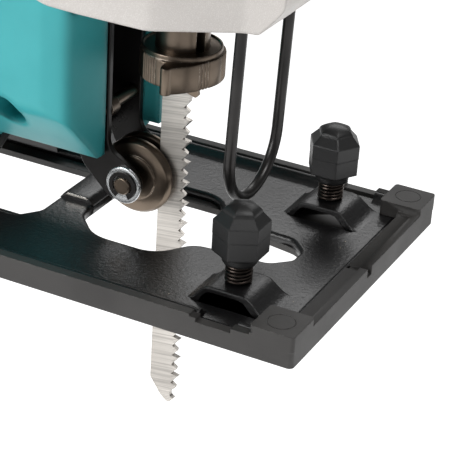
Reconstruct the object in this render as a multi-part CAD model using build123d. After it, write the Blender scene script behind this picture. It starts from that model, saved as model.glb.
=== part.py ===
from build123d import *
import math
import os

# A top-handle orbital jigsaw.
# Frame: the origin is where the blade's stroke axis crosses the underside of the sole.
# +X is the cutting direction, +Y the tool's left side, +Z up. Millimetres.

# ---- driving dimensions: sole -------------------------------------------------------
SOLE_WIDTH = 76.0
SOLE_FRONT = 47.4
SOLE_REAR = -108.0
SHOE_FLOOR = 1.5            # plastic thickness under the steel plate
SHOE_WALL = 2.2
SHOE_WALL_TOP = 5.5
PAD_TOP = 7.2               # raised pads on the two front corners
PLATE_THICK = 2.0
PLATE_TOP = SHOE_FLOOR + PLATE_THICK
PLATE_FRONT = 42.1
PLATE_HALF = 35.6
FLANGE_TOP = 5.3
WEB_STEP_TOP = 5.2          # raised step on the web between the two openings
BLADE_SLOT_FRONT = 30.0
BEVEL_AXIS_Z = 2.0          # height of the axis that the sole tilts about
SADDLE_OUTER = 17.5
SADDLE_THICK = 2.5
SADDLE_X = (-72.0, -40.0)
BEVEL_BOLT_X = sum(SADDLE_X) / 2

# ---- guide-bar clamps ---------------------------------------------------------------
CLAMP_X = 27.5
CLAMP_Y = 23.0
BRIDGE_TOP = 7.0
BRIDGE_Y = (17.4, 28.6)
KNOB_FOOT = 11.6
KNOB_BOTTOM = 13.9
KNOB_SHOULDER = 21.3
KNOB_TOP = 25.2
KNOB_FLATS = 10.3
KNOB_TOP_FLATS = 7.2
SCREW_R = 2.0
SPRING_OUTER = 2.95
SPRING_INNER = 2.2

# ---- blade, plunger and clamp -------------------------------------------------------
BLADE_TIP = -44.2
BLADE_BACK = -4.0
BLADE_THICK = 1.25
TOOTH_TIP = 3.1
TOOTH_DEPTH = 1.7
TOOTH_PITCH = 2.5
STROKE = 18.0
ROD_R = 4.5
ROD_TOP = 142.0
COLLAR_BOTTOM = 38.6
COLLAR_TOP = 44.7
COLLAR_R = 9.4
COLLAR_RIM_R = 8.75
COLLAR_RIM_TOP = 45.8
SLEEVE_R = 5.85
SLEEVE_TOP = 52.0
NECK_TOP = 54.8
ROD_BOTTOM = 51.6
RUNNING = 0.05              # radial clearance of a running fit

# ---- roller and its fork ------------------------------------------------------------
ROLLER_X = -8.7
ROLLER_Z = 13.0
ROLLER_R = 8.8
ROLLER_GROOVE_R = 4.4
ROLLER_HALF = 3.8
AXLE_R = 2.0
FORK_HALF = 7.7
FORK_SHEET = 1.5
FORK_PIVOT = (-17.5, 60.0)  # x, z

# ---- drive train --------------------------------------------------------------------
MOTOR_Z = 90.0
MODULE = 0.8
PINION_TEETH = 9
GEAR_TEETH = 54
GEAR_Z = MOTOR_Z + MODULE * (PINION_TEETH + GEAR_TEETH) / 2
CRANK_R = STROKE / 2
PIN_R = 3.5
PIN_GAP = 0.3               # the crank pin stops this far short of the yoke
YOKE_X = (-9.5, -4.2)
YOKE_Z = GEAR_Z - CRANK_R
SWING_PIVOT = (-8.0, 143.0)  # x, z

# ---- housings -----------------------------------------------------------------------
WALL = 2.5
SKIRT_HALF = 24.5
SKIRT_FRONT = -13.5
SKIRT_BOTTOM = 19.4
BARREL_HALF = 30.0
BARREL_Z = (59.0, 121.0)
GRIP_HALF = 16.5
GRIP_TOP = 197.0
REAR_END = -170.0
COVER_HALF = 27.0           # silver gear cover
COVER_BOTTOM = 58.3
CASE_HALF = 24.4            # gear case inside the cover
CASE_FOOT_HALF = 21.2       # its narrower foot, inside the teal skirt
CASE_STEP_Z = 78.0
CASE_TOP = 147.2
GUARD_X = 18.8
GUARD_HALF = 11.5
GUARD_WIRE_R = 1.25
GUARD_BOTTOM = 14.0

SELECTOR_PIVOT = (-30.0, 44.0)  # x, z
# x and z of each housing screw, which all enter from the right
HOUSING_SCREWS = [(-30.0, 30.5), (-84.0, 32.0), (-137.0, 66.0), (-150.0, 168.0), (-4.0, 172.0), (-98.0, 178.0)]


# ---- small helpers ------------------------------------------------------------------
def box(x, y, z):
    """A block between two values on each axis."""
    size = Box(x[1] - x[0], y[1] - y[0], z[1] - z[0])
    return Pos((x[0] + x[1]) / 2, (y[0] + y[1]) / 2, (z[0] + z[1]) / 2) * size


def rod(radius, start, end):
    """A round bar between two points."""
    start, end = Vector(*start), Vector(*end)
    plane = Plane(origin=start, z_dir=end - start)
    align = (Align.CENTER, Align.CENTER, Align.MIN)
    return plane * Cylinder(radius, (end - start).length, align=align)


def tube(outer, inner, start, end):
    """A round bar with a hole along its axis."""
    return rod(outer, start, end) - rod(inner, start, end)


def outline(corners):
    """A closed flat face through (u, v) or (u, v, corner radius) corners."""
    points = [corner[:2] for corner in corners]
    radii = [corner[2] if len(corner) > 2 else 0.0 for corner in corners]
    return make_face(FilletPolyline(*points, radius=radii, close=True))


def side_prism(corners, y0, y1):
    """A side-view outline in x, z pushed from y0 to y1."""
    face = Plane.XZ.offset(-y0) * outline(corners)
    return extrude(face, amount=-(y1 - y0))


def plan_prism(corners, z0, z1):
    """A plan outline in x, y raised from z0 to z1."""
    return extrude(Plane.XY.offset(z0) * outline(corners), amount=z1 - z0)


def front_prism(corners, x0, x1):
    """A front-view outline in y, z pushed from x0 to x1."""
    return extrude(Plane.YZ.offset(x0) * outline(corners), amount=x1 - x0)


def mirrored(solid):
    return mirror(solid, about=Plane.XZ)


def half(shape, sign):
    """The part of a shape on one side of the middle plane, +1 left or -1 right."""
    y = (0.0, 60.0) if sign > 0 else (-60.0, 0.0)
    return shape & box((-200, 60), y, (-60, 220))


def plunger_hole(radius, z0, z1):
    return rod(radius, (0, 0, z0), (0, 0, z1))


# ---- sole ---------------------------------------------------------------------------
def blade_opening(z0, z1, grow=0.0):
    """The keyhole in the sole: wide round the roller, narrow ahead of the blade."""
    wide, neck, slot = 15.3 + grow, 6.3 + grow, 5.0 + grow
    right = [(-18.3 - grow, -wide, 9), (5.5, -wide, 7), (10.0, -neck, 5), (BLADE_SLOT_FRONT + grow, -slot, 4.6)]
    left = [(x, -y, r) for x, y, r in reversed(right)]
    return plan_prism(right + left, z0, z1)


def rear_opening(z0, z1):
    return plan_prism([(-27.4, -17, 5), (-27.4, 17, 5), (-88, 17, 5), (-88, -17, 5)], z0, z1)


def bridge(side):
    """A strap lanced up from the plate, that the guide bar passes under."""
    t = PLATE_THICK
    low = PLATE_TOP - 0.01
    top = BRIDGE_TOP
    outer = [(18.4, low), (19.2, low + 0.4, 2), (23.4, top, 2.2), (32.8, top, 2.2), (36.8, low + 0.4, 2),
             (37.6, low)]
    inner = [(35.2, low), (34.6, low + 0.5), (31.6, top - t, 1.0), (24.6, top - t, 1.0), (21.6, low + 0.5),
             (21.0, low)]
    low_y, high_y = BRIDGE_Y
    strap = side_prism(outer + inner, low_y, high_y)
    hole = rod(SCREW_R + RUNNING, (CLAMP_X, CLAMP_Y, 0), (CLAMP_X, CLAMP_Y, 12))
    strap = strap - hole
    return strap if side > 0 else mirrored(strap)


def base_plate():
    """Pressed steel plate with turned-up long edges, two openings, a stepped web and two lanced bridges."""
    rear = SOLE_REAR + 2.4
    plate = box((rear, PLATE_FRONT), (-PLATE_HALF, PLATE_HALF), (SHOE_FLOOR, PLATE_TOP))
    for side in (-1, 1):
        inner, outer = sorted((side * (PLATE_HALF - 1.6), side * PLATE_HALF))
        plate += box((rear, 36.5), (inner, outer), (PLATE_TOP - 0.5, FLANGE_TOP))
    plate -= blade_opening(0, 6)
    plate -= rear_opening(0, 6)
    low_y, high_y = BRIDGE_Y
    for side in (-1, 1):
        y = sorted((side * (low_y - 0.2), side * (high_y + 0.2)))
        plate -= box((20.9, 35.3), y, (0, PLATE_TOP + 1))
        notch_y = sorted((side * (PLATE_HALF - 2), side * (PLATE_HALF + 1)))
        plate -= box((25.4, 33.7), notch_y, (PLATE_TOP, 8))
        plate += bridge(side)
    plate += box((-27.0, -18.7), (-4.2, 12.0), (PLATE_TOP - 0.1, WEB_STEP_TOP))
    plate -= fixing_holes(1.6, 0, 8)
    return plate


def fixing_holes(radius, z0, z1):
    """The four rivet places of the tilt bracket."""
    places = [(x, y) for x in (SADDLE_X[0] + 6, SADDLE_X[1] - 6) for y in (-23.0, 23.0)]
    return Compound([rod(radius, (x, y, z0), (x, y, z1)) for x, y in places])


def sole_cover():
    """Plastic shoe that wraps the plate: floor, rim, raised front corners."""
    half_w = SOLE_WIDTH / 2
    corners = [(SOLE_REAR, -half_w, 3), (SOLE_FRONT, -half_w, 1.2), (SOLE_FRONT, half_w, 1.2), (SOLE_REAR, half_w, 3)]
    shoe = plan_prism(corners, 0, SHOE_WALL_TOP)
    inner_w = half_w - SHOE_WALL
    shoe -= box((SOLE_REAR + SHOE_WALL, PLATE_FRONT + 0.2), (-inner_w, inner_w), (SHOE_FLOOR, 9))
    for side in (-1, 1):
        inner, outer = sorted((side * 28.2, side * half_w))
        pad = [(37.6, inner, 0.8), (SOLE_FRONT, inner, 0.8), (SOLE_FRONT, outer, 0.8), (37.6, outer, 0.8)]
        shoe += plan_prism(pad, PLATE_TOP + 0.1, PAD_TOP)
        edge = sorted((side * (inner_w - 0.5), side * (half_w + 1)))
        shoe -= box((24.2, 37.6), edge, (SHOE_WALL_TOP - 0.5, 9))
        shoe -= box((25.6, 33.5), edge, (4.0, 9))
    shoe -= box((PLATE_FRONT, SOLE_FRONT - 1.8), (-27, 27), (4.6, 9))
    shoe -= box((PLATE_FRONT, SOLE_FRONT + 1), (-1.2, 1.2), (3.4, 9))
    shoe -= box((-92, 9), (-13.4, 13.4), (-1, 3))
    shoe -= plan_prism([(8, -9), (BLADE_SLOT_FRONT, -5.2, 4.5), (BLADE_SLOT_FRONT, 5.2, 4.5), (8, 9)], -1, 3)
    return shoe


def saddle_arc(radius_out, radius_in, x, half_angle):
    """A length of curved sheet about the bevel axis, symmetric about the top."""
    ring = tube(radius_out, radius_in, (x[0], 0, BEVEL_AXIS_Z), (x[1], 0, BEVEL_AXIS_Z))
    reach = 2 * radius_out
    sine, cosine = math.sin(math.radians(half_angle)), math.cos(math.radians(half_angle))
    fan = front_prism([(0, BEVEL_AXIS_Z), (reach * sine, BEVEL_AXIS_Z + reach * cosine),
                       (-reach * sine, BEVEL_AXIS_Z + reach * cosine)], x[0] - 1, x[1] + 1)
    return ring & fan


def tilt_bracket():
    """Half-round saddle riveted on the plate, slotted across for the bevel bolt."""
    inner = SADDLE_OUTER - SADDLE_THICK
    axis = (0, BEVEL_AXIS_Z)
    ring = tube(SADDLE_OUTER, inner, (SADDLE_X[0], *axis), (SADDLE_X[1], *axis))
    bracket = ring & box(SADDLE_X, (-20, 20), (PLATE_TOP, 25))
    for side in (-1, 1):
        y = sorted((side * (inner + 0.6), side * 28.0))
        bracket += box(SADDLE_X, y, (PLATE_TOP, PLATE_TOP + 2.0))
    slot = saddle_arc(SADDLE_OUTER + 2, inner - 2, (BEVEL_BOLT_X - 3.4, BEVEL_BOLT_X + 3.4), 58)
    bracket -= slot
    bracket -= fixing_holes(1.6, 0, 8)
    return bracket


def bracket_rivets():
    heads = fixing_holes(2.9, PLATE_TOP + 2.0, PLATE_TOP + 2.6)
    shanks = fixing_holes(1.6, SHOE_FLOOR, PLATE_TOP + 2.1)
    return [head + shank for head, shank in zip(heads.solids(), shanks.solids())]


# ---- guide-bar clamp screws ---------------------------------------------------------
def guide_knob(turn):
    """Six-sided thumb knob: straight body on a round foot, faceted shoulders, domed top."""
    def hexagon(flats, z):
        return Plane.XY.offset(z) * RegularPolygon(flats / 2, 6, major_radius=False, rotation=turn)

    rim = KNOB_SHOULDER + 1.9
    body = extrude(hexagon(KNOB_FLATS, KNOB_BOTTOM), amount=KNOB_SHOULDER - KNOB_BOTTOM)
    body += loft([hexagon(KNOB_FLATS, KNOB_SHOULDER), hexagon(KNOB_TOP_FLATS, rim)])
    dome = Pos(0, 0, KNOB_TOP - 5.4) * Sphere(5.4)
    body += extrude(hexagon(KNOB_TOP_FLATS, rim), amount=3) & dome
    body += rod(3.7, (0, 0, KNOB_FOOT), (0, 0, KNOB_BOTTOM + 0.1))
    body -= rod(SCREW_R, (0, 0, 10), (0, 0, 20))
    return body


def guide_screw():
    return rod(SCREW_R, (0, 0, 4.6), (0, 0, 20.0))


def guide_spring():
    """The coil spring between the bridge and the knob, as a closed sleeve of its size."""
    return tube(SPRING_OUTER, SPRING_INNER, (0, 0, BRIDGE_TOP + 0.05), (0, 0, KNOB_FOOT - 0.05))


# ---- blade, plunger, clamp ----------------------------------------------------------
def blade():
    """T-shank blade: toothed front edge, straight back, slanted tip."""
    first, count = BLADE_TIP + 3.0, 29
    gullet = TOOTH_TIP - TOOTH_DEPTH
    edge = []
    for index in range(count):
        z = first + index * TOOTH_PITCH
        edge += [(gullet, z), (TOOTH_TIP, z + TOOTH_PITCH * 0.78)]
    top = first + count * TOOTH_PITCH
    edge += [(gullet, top), (TOOTH_TIP, top + 1.5), (TOOTH_TIP, 36.0)]
    shank = [(2.4, 39.0), (2.4, 44.0), (4.1, 44.0), (4.1, 48.0), (2.4, 48.0), (2.0, 50.8)]
    back = [(-x - 0.9, z) for x, z in reversed(shank)] + [(BLADE_BACK, 36.0), (BLADE_BACK, BLADE_TIP + 4.5)]
    corners = [(1.2, BLADE_TIP)] + edge + shank + back
    return side_prism(corners, -BLADE_THICK / 2, BLADE_THICK / 2)


def plunger_rod():
    """The reciprocating rod; its foot stands in the bored neck of the blade clamp's sleeve."""
    return rod(ROD_R, (0, 0, ROD_BOTTOM), (0, 0, ROD_TOP))


def yoke():
    """Cross slot on the back of the rod that the crank pin drives."""
    block = [(-14.5, YOKE_Z - 5.6, 1.5), (14.5, YOKE_Z - 5.6, 1.5), (14.5, YOKE_Z + 5.6, 1.5),
             (-14.5, YOKE_Z + 5.6, 1.5)]
    slot = [(-13.0, YOKE_Z - PIN_R - 0.1), (13.0, YOKE_Z - PIN_R - 0.1), (13.0, YOKE_Z + PIN_R + 0.1),
            (-13.0, YOKE_Z + PIN_R + 0.1)]
    shape = front_prism(block, *YOKE_X) - front_prism(slot, YOKE_X[0] - 1, YOKE_X[0] + 3.3)
    return shape - plunger_hole(ROD_R, YOKE_Z - 10, YOKE_Z + 10)


def clamp_sleeve():
    """Blade holder at the foot of the rod, slotted for the blade and notched at its rim."""
    sleeve = rod(SLEEVE_R, (0, 0, 39.4), (0, 0, SLEEVE_TOP)) + rod(5.2, (0, 0, SLEEVE_TOP - 1), (0, 0, NECK_TOP))
    sleeve -= plunger_hole(ROD_R, ROD_BOTTOM, NECK_TOP + 1)
    sleeve -= box((-5.05, 4.6), (-0.75, 0.75), (30, ROD_BOTTOM - 0.4))
    nib = side_prism([(2.0, 35.4), (4.6, 34.6, 0.6), (5.2, 35.4), (4.4, 39.5), (2.0, 39.5)], -1.6, -0.75)
    sleeve += nib
    return sleeve - box((3.4, 8), (-3.2, -0.9), (44.8, 53))


def clamp_collar():
    """Snail-shaped release ring with a thumb lug on the tool's right."""
    ring = rod(COLLAR_R, (0, 0, COLLAR_BOTTOM), (0, 0, COLLAR_TOP))
    lug = [(0.0, -7.5), (1.4, -12.7, 0.6), (4.0, -13.1, 1.3), (8.7, -3.5), (2, 0)]
    ring += plan_prism(lug, COLLAR_BOTTOM, COLLAR_TOP)
    ring += rod(COLLAR_RIM_R, (0, 0, COLLAR_TOP - 1), (0, 0, COLLAR_RIM_TOP))
    ring -= plunger_hole(SLEEVE_R + RUNNING, 30, 60)
    ring -= rod(8.2, (0, 0, COLLAR_RIM_TOP - 0.4), (0, 0, 60))
    return ring


# ---- roller and fork ----------------------------------------------------------------
def roller():
    """Grooved guide roller: the back of the blade runs between its two flanges."""
    y = ROLLER_HALF
    profile = [(AXLE_R + RUNNING, -y), (5.0, -y), (ROLLER_R - 0.5, -y + 1.0), (ROLLER_R, -y + 1.5),
               (ROLLER_R, -1.5), (ROLLER_R - 0.6, -0.85), (ROLLER_GROOVE_R, -0.85)]
    both = profile + [(r, -v) for r, v in reversed(profile)]
    centre = Plane(origin=(ROLLER_X, 0, ROLLER_Z), x_dir=(1, 0, 0), z_dir=(0, 0, 1))
    return revolve(centre * outline(both), axis=Axis((ROLLER_X, 0, ROLLER_Z), (0, 1, 0)))


def across(radius, x, z, y0, y1):
    return rod(radius, (x, y0, z), (x, y1, z))


def fork_outline():
    x, z = ROLLER_X + 0.2, ROLLER_Z - 0.4
    return [(-13.2, 64.0), (-13.2, 20.5, 4), (x + 1.5, z + 4.4, 1.6), (x + 4.3, z + 0.6, 3.4), (x + 1.4, z - 4.6, 3.2),
            (x - 4.2, z - 3.6, 5), (-19.4, 15.4, 6), (-22.2, 22.0, 8), (-22.2, 64.0, 2)]


def roller_fork():
    """Pressed channel that hangs behind the blade and carries the roller between two ears."""
    inner = FORK_HALF - FORK_SHEET
    fork = side_prism(fork_outline(), -FORK_HALF, FORK_HALF)
    fork -= box((-30, 5), (-inner, inner), (0, 19.5))
    fork -= box((-20.7, 5), (-inner, inner), (19.4, 70))
    fork -= across(AXLE_R + RUNNING, ROLLER_X, ROLLER_Z, -20, 20)
    fork -= across(1.5, -15.3, 29.0, -20, 20)
    fork -= across(1.5 + RUNNING, *FORK_PIVOT, -20, 20)
    return fork


def roller_axle():
    axle = across(AXLE_R, ROLLER_X, ROLLER_Z, -9.2, FORK_HALF + 1.4)
    head = across(3.4, ROLLER_X, ROLLER_Z, FORK_HALF + 0.02, FORK_HALF + 1.4)
    groove = across(AXLE_R + 1, ROLLER_X, ROLLER_Z, -8.95, -8.45) - across(1.5, ROLLER_X, ROLLER_Z, -9, -8.4)
    return axle + head - groove


def axle_washer():
    return across(4.3, ROLLER_X, ROLLER_Z, -8.42, -FORK_HALF - 0.02) - across(AXLE_R + 0.1, ROLLER_X, ROLLER_Z, -9, -7)


def axle_clip():
    """E-shaped retaining clip in the axle's groove."""
    clip = across(3.4, ROLLER_X, ROLLER_Z, -8.92, -8.48) - across(1.55, ROLLER_X, ROLLER_Z, -9, -8)
    return clip - box((ROLLER_X - 1.3, ROLLER_X + 1.3), (-10, -8), (ROLLER_Z - 5, ROLLER_Z - 1))


def fork_pin():
    """Cross rivet that keeps the channel's two sides apart."""
    inner = FORK_HALF - FORK_SHEET
    return across(1.5, -15.3, 29.0, -FORK_HALF, FORK_HALF) + across(2.4, -15.3, 29.0, -inner + 0.02, -inner + 3)


def fork_pivot_pin():
    return across(1.5, *FORK_PIVOT, -12.5, 12.5)


# ---- plunger guide ------------------------------------------------------------------
def lower_bush():
    return tube(7.0, ROD_R + RUNNING, (0, 0, 73), (0, 0, 83))


def upper_bush():
    return tube(7.0, ROD_R + RUNNING, (0, 0, 132.2), (0, 0, 138.68))


def swing_frame():
    """Bracket that carries both bushes and swings about a pin, for the orbital action."""
    x, z = SWING_PIVOT
    spine = box((7.2, 9.6), (-6, 6), (73, 141))
    shelf = box((-12, 9.6), (-9, 9), (138.7, 141)) - plunger_hole(ROD_R + 0.5, 130, 150)
    lower = box((-8.4, 8), (-9, 9), (73, 83)) - plunger_hole(7.0, 70, 90)
    upper = box((-8.4, 8), (-9, 9), (132.2, 139)) - plunger_hole(7.0, 130, 139)
    frame = spine + shelf + lower + upper
    for side in (-1, 1):
        y = sorted((side * 6.4, side * 9))
        frame += box((-12, -4), y, (140.9, z + 3.2))
    return frame - across(2.0 + RUNNING, x, z, -20, 20)


def swing_pivot_pin():
    x, z = SWING_PIVOT
    return across(2.0, x, z, -22.0, 22.0)


# ---- gears, crank and motor ---------------------------------------------------------
def spur_gear(teeth, x0, x1, phase):
    """A spur gear about X through the origin, with straight-sided teeth on its pitch circle."""
    pitch = MODULE * teeth / 2
    tip, root = pitch + 0.9 * MODULE, pitch - 1.15 * MODULE
    quarter = math.pi / (2 * teeth)
    points = []
    for index in range(teeth):
        middle = 2 * math.pi * index / teeth + phase
        for radius, share in ((root, -1.35), (tip, -0.5), (tip, 0.5), (root, 1.35)):
            angle = middle + share * quarter * 0.92
            points.append((radius * math.cos(angle), radius * math.sin(angle)))
    return front_prism(points, x0, x1)


def armature_shaft():
    """Motor shaft with the pinion cut on its front end."""
    shaft = rod(4.0, (-50, 0, 0), (-28, 0, 0)) + rod(3.5, (-130, 0, 0), (-49, 0, 0))
    shaft += spur_gear(PINION_TEETH, -28.5, -16.5, math.pi / 2 + math.pi / PINION_TEETH)
    return Pos(0, 0, MOTOR_Z) * shaft


def along_x(outer, inner, x0, x1, z=MOTOR_Z):
    return tube(outer, inner, (x0, 0, z), (x1, 0, z))


def armature_core():
    """Slotted rotor laminations with the winding heads at each end."""
    core = along_x(16.5, 3.5, -92, -54)
    for index in range(12):
        slot = box((-93, -53), (13.2, 17), (-0.8, 0.8))
        core -= Pos(0, 0, MOTOR_Z) * (Rot(30 * index, 0, 0) * slot)
    return core


def armature_windings():
    return [along_x(14.5, 4.2, -100, -92.05), along_x(14.5, 4.2, -53.95, -48)]


def commutator():
    ring = along_x(11.0, 3.5, -116, -103)
    for index in range(24):
        ring -= Pos(0, 0, MOTOR_Z) * (Rot(15 * index, 0, 0) * box((-117, -102), (9.8, 12), (-0.25, 0.25)))
    return ring


def cooling_fan():
    """Radial fan behind the gear case."""
    fan = along_x(24.0, 4.0, -42, -40.4) + along_x(8.0, 4.0, -46, -36.5)
    for index in range(9):
        vane = box((-45.6, -41.9), (7.5, 23.4), (-0.7, 0.7))
        fan += Pos(0, 0, MOTOR_Z) * (Rot(40 * index, 0, 0) * vane)
    return fan


def field_stator():
    """Stator laminations round the armature."""
    stack = along_x(26.3, 17.3, -92, -54)
    for side in (-1, 1):
        y = sorted((side * 17.2, side * 23))
        stack -= box((-93, -53), y, (MOTOR_Z - 7, MOTOR_Z + 7))
    return stack


def field_coils():
    heads = []
    for x0, x1 in ((-99, -92.05), (-53.95, -47.5)):
        for side in (-1, 1):
            z = sorted((MOTOR_Z + side * 10, MOTOR_Z + side * 26))
            heads.append(along_x(25.0, 17.5, x0, x1) & box((x0, x1), (-22, 22), z))
    return heads


def ball_bearing(x0, x1, outer, inner):
    return along_x(outer, inner, x0, x1)


def carbon_brushes():
    return [box((-113, -106), y, (MOTOR_Z - 3, MOTOR_Z + 3)) for y in ((-19, -11.3), (11.3, 19))]


def brush_holders():
    holders = []
    for side in (-1, 1):
        y = sorted((side * 14.2, side * 26.8))
        inner = sorted((side * 14.0, side * 25.6))
        shell = box((-114.6, -104.4), y, (MOTOR_Z - 4.6, MOTOR_Z + 4.6))
        holders.append(shell - box((-113.05, -105.95), inner, (MOTOR_Z - 3.05, MOTOR_Z + 3.05)))
    return holders


def drive_gear():
    gear = spur_gear(GEAR_TEETH, -26.5, -18.5, -math.pi / 2)
    gear -= rod(3.0 + RUNNING, (-40, 0, 0), (0, 0, 0))
    gear -= tube(18.5, 8.0, (-27, 0, 0), (-24, 0, 0))
    gear -= rod(2.5, (-40, 0, -CRANK_R), (0, 0, -CRANK_R))
    return Pos(0, 0, GEAR_Z) * gear


def crank_pin():
    """Pin on the gear's front face: it faces the yoke slot and stops just short of it."""
    pin = rod(PIN_R, (-18.45, 0, YOKE_Z), (YOKE_X[0] - PIN_GAP, 0, YOKE_Z))
    return pin + rod(2.5, (-26.4, 0, YOKE_Z), (-18.4, 0, YOKE_Z))


def balance_weight():
    """Half-round weight opposite the crank pin."""
    weight = tube(17.5, 6.0, (-18.4, 0, GEAR_Z), (-15.4, 0, GEAR_Z))
    return weight & box((-19, -15), (-18, 18), (GEAR_Z + 2.5, GEAR_Z + 20))


def gear_shaft():
    return rod(3.0, (-33.9, 0, GEAR_Z), (-14.6, 0, GEAR_Z))


# ---- housings -----------------------------------------------------------------------
def cover_body(inset):
    """The nose shape: side profile crossed with a plan that narrows to the front."""
    i = inset
    side = [(25.2 - i, COVER_BOTTOM, 1.5), (30.0 - i, 64.0, 4), (31.5 - i, 92.0, 40), (29.0 - i, 124.0, 24),
            (20.0 - i, 150.0 - i, 14), (-8.0, 156.0 - i, 30), (-36.0 + i, 150.0 - i, 6), (-40.0 + i, 108.0, 20),
            (-38.0 + i, 76.0, 12), (-20.0, 58.6, 10), (-10.0, COVER_BOTTOM, 20)]
    half_w = COVER_HALF - i
    right = [(-45, -half_w), (6.0, -half_w, 5), (22.0 - i, -half_w + 10.2, 4), (34.0 - i, -half_w + 12.4, 5)]
    plan = right + [(corner[0], -corner[1], *corner[2:]) for corner in reversed(right)]
    return side_prism(side, -40, 40) & plan_prism(plan, 40, 170)


def gear_covers():
    """Silver nose shell, open below for the plunger and behind for the motor, in two halves."""
    shell = cover_body(0)
    shell -= cover_body(2.2)
    shell -= box((-45, -20), (-24.7, 24.7), (60, 147.6))
    cavity = [(-30, -24.7), (5.5, -24.7, 3), (20.4, -15.6, 4), (22.6, -14.0, 2)]
    plan = cavity + [(corner[0], -corner[1], *corner[2:]) for corner in reversed(cavity)]
    shell -= plan_prism(plan, 50, 66)
    shell -= box((-45, -12), (-24.7, 24.7), (50, 80))
    shell -= box((-24, 18), (-14.2, 14.2), (148, 170))
    return [half(shell, -1), half(shell, 1)]


def gear_case():
    """Aluminium case in the nose: rear bearing plate, two cheeks and a bridge over the top."""
    case = box((-36.5, 5.8), (-CASE_HALF, CASE_HALF), (CASE_STEP_Z, CASE_TOP))
    case -= box((-29.0, 10), (-22.8, 22.8), (60, CASE_TOP - 2.4))
    case += box((-34.0, 5.8), (-CASE_FOOT_HALF, CASE_FOOT_HALF), (66, CASE_STEP_Z))
    case -= box((-29.0, 10), (-CASE_FOOT_HALF + 2, CASE_FOOT_HALF - 2), (60, CASE_STEP_Z + 1))
    case -= box((-18, 10), (-11, 11), (140, 155))
    case -= rod(9.5, (-36.6, 0, MOTOR_Z), (-30.5, 0, MOTOR_Z)) + rod(6.0, (-40, 0, MOTOR_Z), (-20, 0, MOTOR_Z))
    case -= rod(3.0, (-34.0, 0, GEAR_Z), (-20, 0, GEAR_Z))
    x, z = SWING_PIVOT
    case -= across(2.0, x, z, -22.05, 22.05)
    for side in (-1, 1):
        y = sorted((side * 9.4, side * 23))
        case += box((x - 5, x + 5), y, (z - 7, CASE_TOP)) - across(2.0, x, z, -22.05, 22.05)
        y = sorted((side * 8.6, side * 12.6))
        lug = box((-22, -13), y, (56.2, 68.5)) - across(1.5, *FORK_PIVOT, -12.55, 12.55)
        case += lug
        y = sorted((side * 8.6, side * 20))
        case += box((-28, -13), y, (66, 69))
    return case


def barrel_body(inset):
    """Rounded box round the motor."""
    i = inset
    low, high = BARREL_Z
    w = BARREL_HALF - i
    section = [(-w, low + i, 20), (w, low + i, 20), (w, high - i, 16), (-w, high - i, 16)]
    return front_prism(section, -142 + i, -37)


def handle_body(inset):
    """The D-handle: a rounded bar round the finger opening, from nose to rear."""
    i = inset
    outer = [(24 - i, 138), (24 - i, 156, 8), (6 - i, 188 - i, 22), (-30, GRIP_TOP - i, 60), (-122, 194 - i, 50),
             (-158 + i, 182 - i, 26), (REAR_END + i, 138, 34), (REAR_END + 6 + i, 84, 22), (-136, BARREL_Z[0] + 4 + i, 8),
             (-120, BARREL_Z[0] + 10), (-120, 112), (-30, 112), (-30, 138)]
    hole = [(-22 + i, 119 - i, 5), (-18 + i, 142, 12), (-32, 161 + i, 12), (-112, 158 + i, 16), (-134 - i, 150, 12),
            (-138 - i, 119 - i, 8)]
    w = GRIP_HALF - i
    bar = side_prism(outer, -w, w) - side_prism(hole, -w - 5, w + 5)
    rim = [edge for edge in bar.edges() if abs(abs(edge.center().Y) - w) < 0.01 and edge.center().Z > 112.5]
    keep = [edge for edge in rim if edge.center().Z > 125]
    return fillet(keep, max(9.0 - i, 4.0)) if keep else bar


def skirt_body(inset):
    """The lower body over the sole, chamfered at 45 degrees so the sole can tilt."""
    i = inset
    w = SKIRT_HALF - i
    low = SKIRT_BOTTOM + i
    section = [(-11.4, low), (11.4, low), (w, SKIRT_HALF + 8.6 + i, 5), (w, 80), (-w, 80), (-w, SKIRT_HALF + 8.6 + i, 5)]
    block = front_prism(section, -92 + i, SKIRT_FRONT - i)
    nose = [(SKIRT_FRONT - i, -10), (SKIRT_FRONT - 1.0 - i, -w + 1.5, 2.5), (-20 - i, -w), (-95, -w)]
    plan = nose + [(corner[0], -corner[1], *corner[2:]) for corner in reversed(nose)]
    return block & plan_prism(plan, 0, 90)


def screw_bosses():
    posts = [across(6.2, x, z, -40, 40) for x, z in HOUSING_SCREWS]
    return Compound(posts)


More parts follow.
